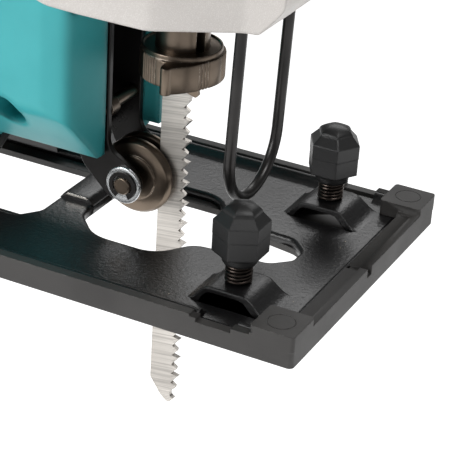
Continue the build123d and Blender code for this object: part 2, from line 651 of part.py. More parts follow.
def housings():
    """The two teal clamshells: barrel, lower skirt and D-handle in one shape, split at the middle."""
    outer = barrel_body(0) + skirt_body(0) + handle_body(0)
    inner = barrel_body(WALL) + skirt_body(WALL) + handle_body(WALL)
    inner -= screw_bosses()
    shell = outer - inner
    shell -= cover_body(-0.25)
    shell -= box((-40, 12), (-CASE_HALF - 0.2, CASE_HALF + 0.2), (CASE_STEP_Z - 0.2, 147.6))
    shell -= box((-40, 12), (-CASE_FOOT_HALF - 0.2, CASE_FOOT_HALF + 0.2), (55.5, CASE_STEP_Z))
    shell -= box((-24, -5), (-8.5, 8.5), (0, 70))
    ring = along_x(29, 26.4, -93, -53) & outer
    shell += ring
    shell += (along_x(13, 9.5, -131, -125) + box((-131, -125), (-28, 28), (MOTOR_Z - 3, MOTOR_Z + 3))
              - along_x(9.5, 0.1, -132, -120)) - rod(9.5, (-132, 0, MOTOR_Z), (-120, 0, MOTOR_Z))
    shell += bevel_seat()
    shell -= rod(SADDLE_OUTER + 0.4, (SADDLE_X[0] - 1, 0, BEVEL_AXIS_Z), (SADDLE_X[1] + 1, 0, BEVEL_AXIS_Z))
    shell -= rod(3.1, (BEVEL_BOLT_X, 0, 10), (BEVEL_BOLT_X, 0, 31.5))
    shell -= handle_cutouts()
    for x, z in HOUSING_SCREWS:
        shell -= across(4.2, x, z, -40, -9.0) + across(2.05, x, z, -9.5, 12.5)
    return [half(shell, -1), half(shell, 1) + fork_cheek()]


def fork_cheek():
    """Inner wall of the left shell that reaches forward beside the roller fork, with a round boss."""
    return box((-20.0, -9.6), (8.7, 10.9), (21.2, 55.6)) + across(4.2, -15.5, 34.0, 8.15, 9.0)


def bevel_seat():
    """Pad under the skirt that rests on the tilt bracket, bored for the bevel bolt."""
    return box(SADDLE_X, (-9, 9), (16, 24)) + rod(7.0, (BEVEL_BOLT_X, 0, 20.2), (BEVEL_BOLT_X, 0, 33))


def handle_cutouts():
    """Openings for the trigger, lock button, speed dial, selector, cord inlet and air."""
    cuts = box((-66.2, -37.8), (-6.2, 6.2), (150, 170.5))
    cuts += across(5.2, -74, 177, 5, 30)
    cuts += across(12.3, -138, 182, -3.7, 3.7)
    cuts += across(5.05, *SELECTOR_PIVOT, 10, 40)
    cuts += rod(7.0, (-150, 0, 150), (-180, 0, 150))
    for index in range(5):
        for side in (-1, 1):
            y = sorted((side * 24, side * 40))
            x = -138 + 6.5 * index
            cuts += box((x, x + 3), y, (MOTOR_Z - 13, MOTOR_Z + 13))
    return cuts


def handle_grip():
    """Soft rubber pad let on to the top and sides of the grip."""
    outer = handle_body(-1.2) & box((-116, -34), (-30, 30), (166, 205))
    return outer - handle_body(-0.05) - across(5.4, -74, 177, 5, 30)


def housing_screws():
    screws = []
    for x, z in HOUSING_SCREWS:
        head = across(3.8, x, z, -11.6, -9.05) - box((x - 2.6, x + 2.6), (-12, -10.6), (z - 0.5, z + 0.5))
        head -= box((x - 0.5, x + 0.5), (-12, -10.6), (z - 2.6, z + 2.6))
        screws.append(head + across(2.0, x, z, -9.1, 12.0))
    return screws


# ---- controls -----------------------------------------------------------------------
def trigger():
    """Finger bar under the front of the grip; it slides up into the handle."""
    bar = [(-65.8, 164, 0), (-65.8, 151.5, 4), (-52, 149.4, 20), (-38.2, 151.5, 4), (-38.2, 164, 0)]
    return side_prism(bar, -5.8, 5.8)


def lock_button():
    return across(4.9, -74, 177, 8.0, 18.6)


def speed_dial():
    """Thumb wheel let into the rear of the handle, ribbed round its rim."""
    wheel = across(11.6, -138, 182, -3.3, 3.3)
    for index in range(24):
        angle = math.radians(15 * index)
        x, z = -138 + 11.8 * math.cos(angle), 182 + 11.8 * math.sin(angle)
        wheel -= across(0.6, x, z, -4, 4)
    return wheel - across(1.55, -138, 182, -4, 4)


def dial_pin():
    return across(1.5, -138, 182, -5.5, 5.5)


def orbit_selector():
    """Lever on the left side that sets the orbital stroke."""
    x, z = SELECTOR_PIVOT
    arm = [(x - 6, z - 6, 4.4), (x + 6, z - 6, 4.4), (x + 2.8, z + 17, 2), (x - 2.8, z + 17, 2)]
    lever = side_prism(arm, 25.0, 28.0)
    return lever + across(5.0, x, z, 12.0, 25.1)


def switch_body():
    return box((-68, -40), (-8, 8), (171, 184))


def blade_guard():
    """Bent wire that keeps fingers off the front of the blade."""
    bend = GUARD_HALF
    turn_z = GUARD_BOTTOM + GUARD_WIRE_R + bend
    top = 75.0
    legs = [Line((GUARD_X, side * bend, turn_z), (GUARD_X, side * bend, top)) for side in (-1, 1)]
    arc = ThreePointArc((GUARD_X, -bend, turn_z), (GUARD_X, 0, turn_z - bend), (GUARD_X, bend, turn_z))
    path = Wire([legs[0].edge(), arc.edge(), legs[1].edge()])
    start = Plane(origin=(GUARD_X, -bend, top), z_dir=(0, 0, -1))
    return sweep(start * Circle(GUARD_WIRE_R), path=path)


def bevel_bolt():
    """Socket bolt that clamps the tilt bracket to the housing from below."""
    bolt = rod(3.0, (0, 0, 10), (0, 0, 31)) + rod(5.0, (0, 0, 5.2), (0, 0, 10.2))
    socket = Plane.XY.offset(5.1) * RegularPolygon(2.5, 6, major_radius=False)
    return Pos(BEVEL_BOLT_X, 0, 0) * (bolt - extrude(socket, amount=3.2))


def bevel_shoe():
    """Curved washer between the bolt's head and the inside of the tilt bracket."""
    shoe = saddle_arc(SADDLE_OUTER - SADDLE_THICK - 0.35, 10.0, (-7, 7), 24)
    shoe &= box((-8, 8), (-8, 8), (10.25, 30))
    return Pos(BEVEL_BOLT_X, 0, 0) * (shoe - rod(3.1, (0, 0, 5), (0, 0, 30)))


def cord_bush():
    """Rubber inlet where the mains lead would enter."""
    bush = tube(6.9, 3.6, (-158, 0, 150), (-176, 0, 150))
    return bush - tube(8, 5.8, (-172.5, 0, 150), (-174.5, 0, 150))


def place_clamp(solid, side):
    return Pos(CLAMP_X, side * CLAMP_Y, 0) * solid


def nodes():
    """Every node of the jigsaw by name."""
    covers, shells = gear_covers(), housings()
    made = {
        "housing_right": shells[0], "housing_left": shells[1], "gear_cover_right": covers[0],
        "gear_cover_left": covers[1], "gear_case": gear_case(), "handle_grip": handle_grip(),
        "housing_screws": housing_screws(), "cord_bush": cord_bush(), "blade_guard": blade_guard(),
        "fork_pivot_pin": fork_pivot_pin(), "swing_pivot_pin": swing_pivot_pin(), "gear_shaft": gear_shaft(),
        "field_stator": field_stator(), "field_coils": field_coils(), "switch_body": switch_body(),
        "front_bearing": ball_bearing(-36.5, -30.6, 9.5, 4.05), "rear_bearing": ball_bearing(-130.5, -124.5, 9.5, 3.55),
        "carbon_brushes": carbon_brushes(), "brush_holders": brush_holders(), "dial_pin": dial_pin(),
        "bevel_bolt": bevel_bolt(), "bevel_shoe": bevel_shoe(),
        "base_plate": base_plate(), "sole_cover": sole_cover(), "tilt_bracket": tilt_bracket(),
        "bracket_rivets": bracket_rivets(),
        "roller_fork": roller_fork(), "roller_axle": roller_axle(), "axle_washer": axle_washer(),
        "axle_clip": axle_clip(), "fork_pin": fork_pin(), "roller": roller(),
        "swing_frame": swing_frame(), "lower_bush": lower_bush(), "upper_bush": upper_bush(),
        "plunger_rod": plunger_rod(), "yoke": yoke(), "clamp_sleeve": clamp_sleeve(), "blade": blade(),
        "clamp_collar": clamp_collar(),
        "armature_shaft": armature_shaft(), "armature_core": armature_core(),
        "armature_windings": armature_windings(), "commutator": commutator(), "cooling_fan": cooling_fan(),
        "drive_gear": drive_gear(), "crank_pin": crank_pin(), "balance_weight": balance_weight(),
        "orbit_selector": orbit_selector(), "trigger": trigger(), "lock_button": lock_button(),
        "speed_dial": speed_dial(),
    }
    for side, name, turn in ((-1, "right", 30), (1, "left", 0)):
        made[f"guide_knob_{name}"] = place_clamp(guide_knob(turn), side)
        made[f"guide_screw_{name}"] = place_clamp(guide_screw(), side)
        made[f"guide_spring_{name}"] = place_clamp(guide_spring(), side)
    return made


def write_parts():
    os.makedirs("parts", exist_ok=True)
    for name, shape in nodes().items():
        solids = shape if isinstance(shape, list) else [shape]
        flat = [solid for item in solids for solid in item.solids()]
        export_step(flat[0] if len(flat) == 1 else Compound(flat), f"parts/{name}.step")


write_parts()
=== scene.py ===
import math

import bmesh
import bpy
from mathutils import Matrix, Vector


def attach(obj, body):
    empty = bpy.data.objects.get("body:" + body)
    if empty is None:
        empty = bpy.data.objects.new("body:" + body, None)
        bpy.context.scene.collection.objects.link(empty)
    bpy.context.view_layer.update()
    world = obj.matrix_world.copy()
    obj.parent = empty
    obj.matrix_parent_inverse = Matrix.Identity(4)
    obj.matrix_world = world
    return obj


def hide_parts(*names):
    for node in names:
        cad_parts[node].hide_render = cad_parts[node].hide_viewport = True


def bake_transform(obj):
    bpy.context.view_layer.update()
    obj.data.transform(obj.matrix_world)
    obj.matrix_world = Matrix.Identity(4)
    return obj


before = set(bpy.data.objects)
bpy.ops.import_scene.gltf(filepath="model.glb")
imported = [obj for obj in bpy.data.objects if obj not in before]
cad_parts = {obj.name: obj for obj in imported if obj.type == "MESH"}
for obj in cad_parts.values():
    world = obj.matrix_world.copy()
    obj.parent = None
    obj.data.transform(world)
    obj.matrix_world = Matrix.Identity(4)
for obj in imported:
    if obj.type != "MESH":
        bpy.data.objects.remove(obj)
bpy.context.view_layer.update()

# The looks of a top-handle jigsaw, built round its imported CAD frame.
# Every length below is in millimetres unless its name says otherwise; MM turns it into metres.

MM = 0.001

# ---- driving dimensions, the same as the CAD part's ---------------------------------
PLATE_TOP = 3.5
PLATE_THICK = 2.0
PLATE_X = (-105.6, 42.1)
PLATE_HALF = 35.6
FLANGE_TOP = 5.3
CLAMP_X = 27.5
CLAMP_Y = 23.0
BRIDGE_Y = (17.4, 28.6)
BRIDGE_TOP = 7.0
KNOB_FOOT = 11.6
KNOB_BOTTOM = 13.9
KNOB_SHOULDER = 21.3
KNOB_FLATS = 10.3
KNOB_TOP_FLATS = 7.2
SCREW_R = 2.0
BLADE_TIP = -44.2
BLADE_BACK = -4.0
BLADE_HALF = 0.62
GULLET_X = 1.4
TOOTH_X = 3.1
TOOTH_PITCH = 2.5
TOOTH_COUNT = 29
TOOTH_SET = 0.28
ROLLER = (-8.7, 13.0)       # x, z
COLLAR_Z = (38.6, 44.7)
COLLAR_RIM = (8.75, 45.8)   # radius, top
COLLAR_R = 9.4
SLEEVE_R = 5.9
GUARD_X = 18.3
GUARD_LEAN = 0.03          # forward lean of the legs, per millimetre of height
GUARD_HALF = 11.5
GUARD_WIRE_R = 1.25
GUARD_BOTTOM = 14.0
GUARD_TOP = 75.0
WEB_STEP_Y = (-4.2, 12.0)
SHOE_TOP = 7.19
EJECTOR_MARK = (42.4, 33.4)    # x, distance from the middle
THREAD_PITCH = 0.7             # as shown; the joint's own pitch is in the record
COLLAR_STEPS = 720
FLOOR_SIZE_M = 6.0
FLOOR_Z_M = -0.30


# ---- material nodes -----------------------------------------------------------------
def add(tree, kind, inputs=None, **settings):
    """Adds a shader node; an input may be a number, a colour or another node's output."""
    made = tree.nodes.new("ShaderNode" + kind)
    for key, value in settings.items():
        setattr(made, key, value)
    for key, value in (inputs or {}).items():
        if isinstance(value, bpy.types.NodeSocket):
            tree.links.new(value, made.inputs[key])
        else:
            made.inputs[key].default_value = value
    return made


def noise(tree, place, scale, detail=2.0):
    inputs = {"Vector": place, "Scale": scale, "Detail": detail, "Roughness": 0.55}
    return add(tree, "TexNoise", inputs).outputs["Fac"]


def ramp(tree, value, low, high, to_low=0.0, to_high=1.0):
    """Maps low..high of a value smoothly to to_low..to_high."""
    inputs = {"Value": value, "From Min": low, "From Max": high, "To Min": to_low, "To Max": to_high}
    return add(tree, "MapRange", inputs, interpolation_type="SMOOTHSTEP").outputs["Result"]


def blend_colour(tree, share, first, second):
    mix = add(tree, "Mix", data_type="RGBA")
    for index, value in ((0, share), (6, first), (7, second)):
        if isinstance(value, bpy.types.NodeSocket):
            tree.links.new(value, mix.inputs[index])
        else:
            mix.inputs[index].default_value = (*value, 1.0) if isinstance(value, tuple) else value
    return mix.outputs[2]


def edge_mask(tree, radius):
    """Rounds the shading of edges, and marks where they are."""
    rounded = add(tree, "Bevel", {"Radius": radius * MM}, samples=4).outputs["Normal"]
    flat = add(tree, "NewGeometry").outputs["Normal"]
    dot = add(tree, "VectorMath", operation="DOT_PRODUCT")
    tree.links.new(rounded, dot.inputs[0])
    tree.links.new(flat, dot.inputs[1])
    return rounded, ramp(tree, dot.outputs["Value"], 0.98, 0.80)


def streaks(tree, place, direction, tilt):
    """Fine parallel marks that run along one axis."""
    scale = tuple(40.0 if axis == direction else 2600.0 for axis in "XYZ")
    turned = add(tree, "Mapping", {"Vector": place, "Rotation": (0.0, math.radians(tilt), 0.0)})
    stretched = add(tree, "VectorMath", operation="MULTIPLY")
    tree.links.new(turned.outputs["Vector"], stretched.inputs[0])
    stretched.inputs[1].default_value = scale
    return noise(tree, stretched.outputs["Vector"], 1.0, 3.0)


def surface(name, light, dark, rough, metallic=0.0, grain=(1800.0, 0.02), mottle=45.0, edge=0.3,
            worn=None, dust=0.0, sparkle=0.0, brush=None, tilt=0.0, coat=0.0, depth=0.0):
    """A finish: two mottled tones, grain and rounded edges.

    It also has wear, dust, flakes, brush marks, a clear coat and light scattered below the surface.
    """
    material = bpy.data.materials.new(name)
    material.use_nodes = True
    tree = material.node_tree
    tree.nodes.clear()
    place = add(tree, "TexCoord").outputs["Object"]
    broad = noise(tree, place, mottle, 4.0)
    fine = noise(tree, place, grain[0], 2.0)
    colour = blend_colour(tree, ramp(tree, broad, 0.35, 0.65), light, dark)
    roughness = ramp(tree, broad, 0.3, 0.7, *rough)
    height = fine
    if sparkle:
        flake = ramp(tree, noise(tree, place, 5200.0, 1.0), 0.45, 0.75, 0.0, sparkle)
        colour = blend_colour(tree, flake, colour, tuple(min(1.0, 1.7 * c + 0.05) for c in light))
    if brush:
        marks = streaks(tree, place, brush, tilt)
        shade = tuple(0.62 * c for c in dark)
        colour = blend_colour(tree, ramp(tree, marks, 0.38, 0.68, 0.0, 0.75), colour, shade)
        height = add(tree, "Math", {0: fine, 1: marks}, operation="ADD").outputs[0]
    if dust:
        cells = add(tree, "TexVoronoi", {"Vector": place, "Scale": 260.0}).outputs["Distance"]
        thin = ramp(tree, noise(tree, place, 90.0), 0.50, 0.62)
        dots = ramp(tree, cells, 0.05, 0.02, 0.0, dust)
        specks = add(tree, "Math", {0: dots, 1: thin}, operation="MULTIPLY")
        colour = blend_colour(tree, specks.outputs[0], colour, (0.42, 0.34, 0.24))
    normal, edges = edge_mask(tree, edge)
    if worn:
        broken = ramp(tree, noise(tree, place, 700.0, 4.0), 0.40, 0.60)
        wear = add(tree, "Math", {0: edges, 1: broken}, operation="MULTIPLY").outputs[0]
        colour = blend_colour(tree, wear, colour, worn)
    bump = add(tree, "Bump", {"Strength": 1.0, "Distance": grain[1] * MM, "Height": height, "Normal": normal})
    shader = {"Base Color": colour, "Roughness": roughness, "Metallic": metallic, "Normal": bump.outputs[0],
              "Coat Weight": coat, "Coat Roughness": 0.22}
    body = add(tree, "BsdfPrincipled", shader)
    if depth:
        body.inputs["Subsurface Weight"].default_value = depth
        body.inputs["Subsurface Radius"].default_value = (0.0006, 0.0012, 0.0012)
        body.inputs["Subsurface Scale"].default_value = 1.0
    tree.links.new(body.outputs[0], add(tree, "OutputMaterial").inputs["Surface"])
    return material


def finishes():
    """Every material slot of the record, by name."""
    return {
        "teal_plastic": surface("teal_plastic", (0.045, 0.43, 0.455), (0.038, 0.395, 0.42), (0.40, 0.50),
                                grain=(1500.0, 0.012), edge=2.4, depth=0.08),
        "silver_paint": surface("silver_paint", (0.60, 0.568, 0.540), (0.56, 0.53, 0.505), (0.46, 0.56),
                                metallic=0.1, grain=(2600.0, 0.012), edge=0.8, sparkle=0.22),
        "black_paint": surface("black_paint", (0.0070, 0.0066, 0.0068), (0.0045, 0.0043, 0.0046), (0.30, 0.38),
                               grain=(1250.0, 0.10), edge=0.5, dust=0.8, coat=0.1),
        "black_plastic": surface("black_plastic", (0.036, 0.0335, 0.0315), (0.029, 0.027, 0.0255), (0.50, 0.60),
                                 grain=(1900.0, 0.02), edge=0.35, dust=0.5, worn=(0.12, 0.115, 0.11)),
        "knob_plastic": surface("knob_plastic", (0.0105, 0.0105, 0.0108), (0.0080, 0.0080, 0.0083),
                                (0.38, 0.48),
                                grain=(1700.0, 0.02), edge=0.5, dust=0.7),
        "soft_rubber": surface("soft_rubber", (0.022, 0.022, 0.023), (0.016, 0.016, 0.017), (0.66, 0.78),
                               grain=(1300.0, 0.05), edge=0.7),
        "black_steel": surface("black_steel", (0.030, 0.028, 0.027), (0.018, 0.017, 0.017), (0.26, 0.40),
                               metallic=0.55, grain=(1200.0, 0.02), edge=0.25, worn=(0.24, 0.22, 0.20),
                               dust=0.6),
        "bright_steel": surface("bright_steel", (0.60, 0.57, 0.53), (0.48, 0.45, 0.42), (0.22, 0.34),
                                metallic=1.0, grain=(2200.0, 0.006), edge=0.25),
        "blade_steel": surface("blade_steel", (0.60, 0.57, 0.53), (0.52, 0.49, 0.455), (0.34, 0.46),
                               metallic=0.85, grain=(2600.0, 0.006), edge=0.08, brush="X", tilt=7.0),
        "tool_steel": surface("tool_steel", (0.190, 0.150, 0.115), (0.120, 0.096, 0.076), (0.26, 0.38),
                              metallic=1.0, grain=(2400.0, 0.014), edge=0.22, worn=(0.70, 0.62, 0.54)),
        "zinc_plate": surface("zinc_plate", (0.74, 0.76, 0.77), (0.58, 0.60, 0.62), (0.18, 0.30),
                              metallic=1.0, grain=(1800.0, 0.006), edge=0.2),
        "spring_steel": surface("spring_steel", (0.12, 0.095, 0.082), (0.06, 0.048, 0.042), (0.22, 0.34),
                                metallic=1.0, grain=(1800.0, 0.008), edge=0.1),
        "lamination_steel": surface("lamination_steel", (0.30, 0.30, 0.31), (0.20, 0.20, 0.21), (0.36, 0.50),
                                    metallic=1.0, grain=(1500.0, 0.02), brush="Y"),
        "cast_aluminium": surface("cast_aluminium", (0.52, 0.52, 0.52), (0.40, 0.40, 0.41), (0.42, 0.58),
                                  metallic=1.0, grain=(900.0, 0.05)),
        "copper": surface("copper", (0.62, 0.27, 0.13), (0.48, 0.19, 0.09), (0.28, 0.42), metallic=1.0,
                          grain=(1400.0, 0.04), brush="X"),
        "brass": surface("brass", (0.66, 0.50, 0.22), (0.54, 0.40, 0.17), (0.26, 0.38), metallic=1.0,
                         grain=(2000.0, 0.008)),
        "bronze": surface("bronze", (0.42, 0.28, 0.15), (0.33, 0.21, 0.11), (0.36, 0.48), metallic=1.0,
                          grain=(1600.0, 0.03)),
        "carbon": surface("carbon", (0.030, 0.030, 0.032), (0.020, 0.020, 0.022), (0.50, 0.62),
                          grain=(1600.0, 0.03)),
    }


# ---- shape helpers ------------------------------------------------------------------
def build(name, points, faces):
    """A mesh object from points in millimetres."""
    mesh = bpy.data.meshes.new(name)
    mesh.from_pydata([Vector(point) * MM for point in points], [], faces)
    made = bpy.data.objects.new(name, mesh)
    bpy.context.collection.objects.link(made)
    shell = bmesh.new()
    shell.from_mesh(mesh)
    bmesh.ops.recalc_face_normals(shell, faces=shell.faces)
    shell.to_mesh(mesh)
    shell.free()
    return made


def join(name, pieces):
    """One object out of several."""
    whole = bmesh.new()
    for piece in pieces:
        whole.from_mesh(piece.data)
        bpy.data.objects.remove(piece)
    mesh = bpy.data.meshes.new(name)
    whole.to_mesh(mesh)
    whole.free()
    made = bpy.data.objects.new(name, mesh)
    bpy.context.collection.objects.link(made)
    return made


def dress(piece, slot, body, *replaced, width=0.0, segments=3, angle=32.0, smooth=True):
    """Gives a piece its finish, rounded edges and smooth shading, and lets it move with its CAD body."""
    piece.data.materials.clear()
    piece.data.materials.append(MATERIALS[slot])
    if smooth:
        piece.data.shade_smooth()
        piece.data.set_sharp_from_angle(angle=math.radians(angle))
    if width:
        bevel = piece.modifiers.new("edges", "BEVEL")
        bevel.width = width * MM
        bevel.segments = segments
        bevel.limit_method = "ANGLE"
        bevel.angle_limit = math.radians(angle)
        bevel.use_clamp_overlap = False
        bevel.harden_normals = True
    if body:
        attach(piece, body)
    if replaced:
        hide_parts(*replaced)
    return piece


def rings_to_mesh(name, rings, loop=False):
    """Skins a stack of rings that have the same number of points."""
    count = len(rings[0])
    points = [point for ring in rings for point in ring]
    faces = []
    for level in range(len(rings) - (0 if loop else 1)):
        above = (level + 1) % len(rings)
        for index in range(count):
            after = (index + 1) % count
            low, high = level * count, above * count
            faces.append((low + index, low + after, high + after, high + index))
    if not loop:
        faces.append(tuple(range(count)))
        faces.append(tuple((len(rings) - 1) * count + index for index in range(count)))
    return build(name, points, faces)


def lathe(name, centre, axis, profile, steps=64, closed=False):
    """Turns (radius, height) points about an axis through centre."""
    way = Vector(axis).normalized()
    first = way.orthogonal().normalized()
    second = way.cross(first)
    rings = []
    for radius, height in profile:
        ring = []
        for index in range(steps):
            angle = 2 * math.pi * index / steps
            out = first * math.cos(angle) + second * math.sin(angle)
            ring.append(Vector(centre) + way * height + out * radius)
        rings.append(ring)
    return rings_to_mesh(name, rings, loop=closed)


def sweep_wire(name, path, radius, sides=12):
    """A round wire along a path of points."""
    rings = []
    side = None
    for index, point in enumerate(path):
        ahead = path[min(index + 1, len(path) - 1)] - path[max(index - 1, 0)]
        ahead.normalize()
        side = ahead.orthogonal() if side is None else side - ahead * side.dot(ahead)
        side.normalize()
        other = ahead.cross(side)
        ring = []
        for step in range(sides):
            angle = 2 * math.pi * step / sides
            ring.append(point + (side * math.cos(angle) + other * math.sin(angle)) * radius)
        rings.append(ring)
    return rings_to_mesh(name, rings)


def rounded(corners, step=9.0):
    """The points of a closed outline whose (u, v, radius) corners are rounded."""
    points = []
    for index, corner in enumerate(corners):
        here = Vector(corner[:2])
        radius = corner[2] if len(corner) > 2 else 0.0
        if not radius:
            points.append(here)
            continue
        back = (Vector(corners[index - 1][:2]) - here).normalized()
        ahead = (Vector(corners[(index + 1) % len(corners)][:2]) - here).normalized()
        half = back.angle(ahead) / 2
        centre = here + (back + ahead).normalized() * radius / math.sin(half)
        spoke = here + back * radius / math.tan(half) - centre
        sweep = math.pi - 2 * half
        turn = 1 if back.cross(ahead) < 0 else -1
        count = max(2, math.ceil(math.degrees(sweep) / step))
        for part in range(count + 1):
            points.append(centre + Matrix.Rotation(turn * sweep * part / count, 2) @ spoke)
    return points


def inset(outline, distance):
    """An outline moved inwards, or outwards by a negative distance; it runs counter-clockwise."""
    moved = []
    for index, here in enumerate(outline):
        before = (here - outline[index - 1]).normalized()
        after = (outline[(index + 1) % len(outline)] - here).normalized()
        side = Vector((-before.y - after.y, before.x + after.x)).normalized()
        stretch = max(0.35, side.dot(Vector((-after.y, after.x))))
        moved.append(here + side * distance / stretch)
    return moved


def plate_with_holes(name, outer, holes, low, high, lip):
    """A flat sheet with holes between two heights; every upper edge, of a hole or outside, is a rounded lip."""
    sheet = bmesh.new()
    edges = {low: [], high: []}
    for loop, sign in [(outer, 1)] + [(hole, -1) for hole in holes]:
        rings = []
        for part in range(6):
            angle = math.radians(18 * part)
            level = inset(loop, sign * lip * (1 - math.sin(angle)))
            rings.append([(*point, high - lip * (1 - math.cos(angle))) for point in level])
        rings.append([(*point, low) for point in loop])
        rows = [[sheet.verts.new(Vector(point) * MM) for point in ring] for ring in rings]
        for upper, lower in zip(rows, rows[1:]):
            for index in range(len(upper)):
                corners = (upper[index - 1], upper[index], lower[index], lower[index - 1])
                sheet.faces.new(corners).smooth = True
        for row, height in ((rows[0], high), (rows[-1], low)):
            edges[height] += [sheet.edges.get((row[index - 1], row[index])) for index in range(len(row))]
    for ring in edges.values():
        flat = bmesh.ops.triangle_fill(sheet, use_beauty=True, edges=ring)["geom"]
        for item in flat:
            if isinstance(item, bmesh.types.BMFace):
                item.smooth = False
    bmesh.ops.recalc_face_normals(sheet, faces=sheet.faces)
    mesh = bpy.data.meshes.new(name)
    sheet.to_mesh(mesh)
    sheet.free()
    made = bpy.data.objects.new(name, mesh)
    bpy.context.collection.objects.link(made)
    return made


def section_along(name, section, start, end):
    """A closed section of (y, z) points pushed along X."""
    return rings_to_mesh(name, [[(x, *point) for point in section] for x in (start, end)])


def side_shape(name, outline, low, high):
    """A closed outline of (x, z) points pushed along Y."""
    return rings_to_mesh(name, [[(point[0], y, point[1]) for point in outline] for y in (low, high)])


def copied(node, merge=0.002):
    """A copy of a CAD node with its flat areas merged."""
    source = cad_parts[node]
    shell = bmesh.new()
    shell.from_mesh(source.data)
    bmesh.ops.remove_doubles(shell, verts=shell.verts, dist=merge * MM)
    bmesh.ops.dissolve_limit(shell, angle_limit=math.radians(0.6), verts=shell.verts, edges=shell.edges)
    mesh = bpy.data.meshes.new(node + ".look")
    shell.to_mesh(mesh)
    shell.free()
    made = bpy.data.objects.new(node + ".look", mesh)
    bpy.context.collection.objects.link(made)
    return made


# ---- sole ---------------------------------------------------------------------------
def blade_opening():
    right = [(-18.4, -4.2, 0.8), (-18.4, -8.5, 4), (-11.5, -15.6, 9), (3.5, -15.6, 7), (9.0, -7.4, 5.5),
             (15.0, -6.6, 8), (26.5, -6.2, 3.5), (30.3, -2.2, 2.0)]
    return rounded(right + [(x, -y, r) for x, y, r in reversed(right)])


def rear_opening():
    right = [(-88, -17, 6), (-31, -17, 3.5), (-27.4, -12, 3)]
    return rounded(right + [(x, -y, r) for x, y, r in reversed(right)])


def lanced_hole(side):
    low, high = sorted((side * (BRIDGE_Y[0] - 0.2), side * (BRIDGE_Y[1] + 0.2)))
    return [Vector(point) for point in ((20.9, low), (35.3, low), (35.3, high), (20.9, high))]


def strap(side):
    """A bridge pressed up out of the plate: flat top, steep flanks, feet that flare into the plate."""
    outer = [(18.7, 3.45), (19.5, 3.65), (20.3, 4.2), (21.2, 5.2), (22.1, 6.3), (22.9, 6.85), (24.0, 7.0),
             (27.5, 7.0), (31.0, 7.0), (32.3, 6.75), (33.6, 5.8), (34.9, 4.6), (36.0, 3.85), (37.0, 3.52),
             (38.0, 3.45)]
    inner = [(21.0, 1.6), (21.2, 2.6), (21.6, 3.6), (22.2, 4.6), (22.9, 5.3), (23.6, 5.6), (24.6, 5.7),
             (27.5, 5.7),
             (30.2, 5.7), (31.4, 5.4), (32.4, 4.5), (33.2, 3.6), (34.0, 2.9), (34.9, 2.2), (35.2, 1.6)]
    middle, half_width = sum(BRIDGE_Y) / 2, (BRIDGE_Y[1] - BRIDGE_Y[0]) / 2
    rows = []
    edge_drop = [(-1.0, 0.35), (-0.96, 0.1), (-0.9, 0.0), (0.0, 0.0), (0.9, 0.0), (0.96, 0.1), (1.0, 0.35)]
    for share, drop in edge_drop:
        for line, sign in ((outer, -1), (inner, 1)):
            row = []
            for x, z in line:
                flare = 1.0 + 0.05 * max(0.0, 5.5 - z) if sign < 0 else 1.0
                row.append((x, side * (middle + share * half_width * flare), z + 0.5 * sign * drop))
            rows.append(row)
    count = len(outer)
    points = [point for row in rows for point in row]
    faces = []
    for start, end in [(k, k + 2) for k in range(len(rows) - 2)] + [(0, 1), (len(rows) - 2, len(rows) - 1)]:
        faces += [(start * count + k, start * count + k + 1, end * count + k + 1, end * count + k)
                  for k in range(count - 1)]
    return build(f"strap{side}", points, faces)


def web_step():
    """Raised step across the web between the openings; its sheared end is bright."""
    section = [(-27.3, 3.3), (-26.6, 4.2), (-25.9, 5.0), (-25.2, 5.2), (-20.4, 5.2), (-19.7, 5.0), (-19.1, 4.2),
               (-18.5, 3.3)]
    step = side_shape("web_step", [Vector(point) for point in section], *WEB_STEP_Y)
    dress(step, "black_paint", "sole", angle=50)
    lip = [(-25.9, 4.4), (-25.3, 5.0), (-20.4, 5.0), (-19.9, 4.6), (-20.3, 4.4)]
    sheared = side_shape("web_step_edge", [Vector(point) for point in lip], WEB_STEP_Y[0] - 0.06,
                         WEB_STEP_Y[0] + 0.05)
    dress(sheared, "bright_steel", "sole")


def sole_plate():
    """Pressed steel plate: rounded openings, turned-up long edges and two lanced bridges."""
    x0, x1 = PLATE_X
    half = PLATE_HALF
    outer = rounded([(x0, -half, 1.5), (x1, -half, 0.8), (x1, half, 0.8), (x0, half, 1.5)])
    holes = [blade_opening(), rear_opening(), lanced_hole(-1), lanced_hole(1)]
    sheet = plate_with_holes("plate.look", outer, holes, PLATE_TOP - PLATE_THICK, PLATE_TOP, lip=1.0)
    dress(sheet, "black_paint", "sole", "base_plate", smooth=False)
    for side in (-1, 1):
        high = side * PLATE_HALF
        section = [(high, 2.4), (high, 4.7), (high - side * 0.25, 5.15), (high - side * 0.8, FLANGE_TOP),
                   (high - side * 1.35, 5.1), (high - side * 1.7, 4.5), (high - side * 2.3, 3.8),
                   (high - side * 3.4, PLATE_TOP + 0.02), (high - side * 3.4, 2.4)]
        for start, end in ((x0 + 0.4, 25.2), (33.9, 37.0)):
            flange = section_along(f"plate_flange{side}_{int(end)}", section, start, end)
            dress(flange, "black_paint", "sole", angle=50)
        dress(strap(side), "black_paint", "sole", angle=50)
    web_step()


def shoe():
    """Plastic shoe with softened edges and the ejector marks on its raised corners."""
    dress(copied("sole_cover"), "black_plastic", "sole", "sole_cover")
    for side in (-1, 1):
        profile = [(2.75, 0.0), (2.80, 0.05), (2.95, 0.06), (3.00, 0.0)]
        mark = lathe(f"ejector_mark{side}", (EJECTOR_MARK[0], side * EJECTOR_MARK[1], SHOE_TOP), (0, 0, 1),
                     profile, 48)
        dress(mark, "black_plastic", "sole")


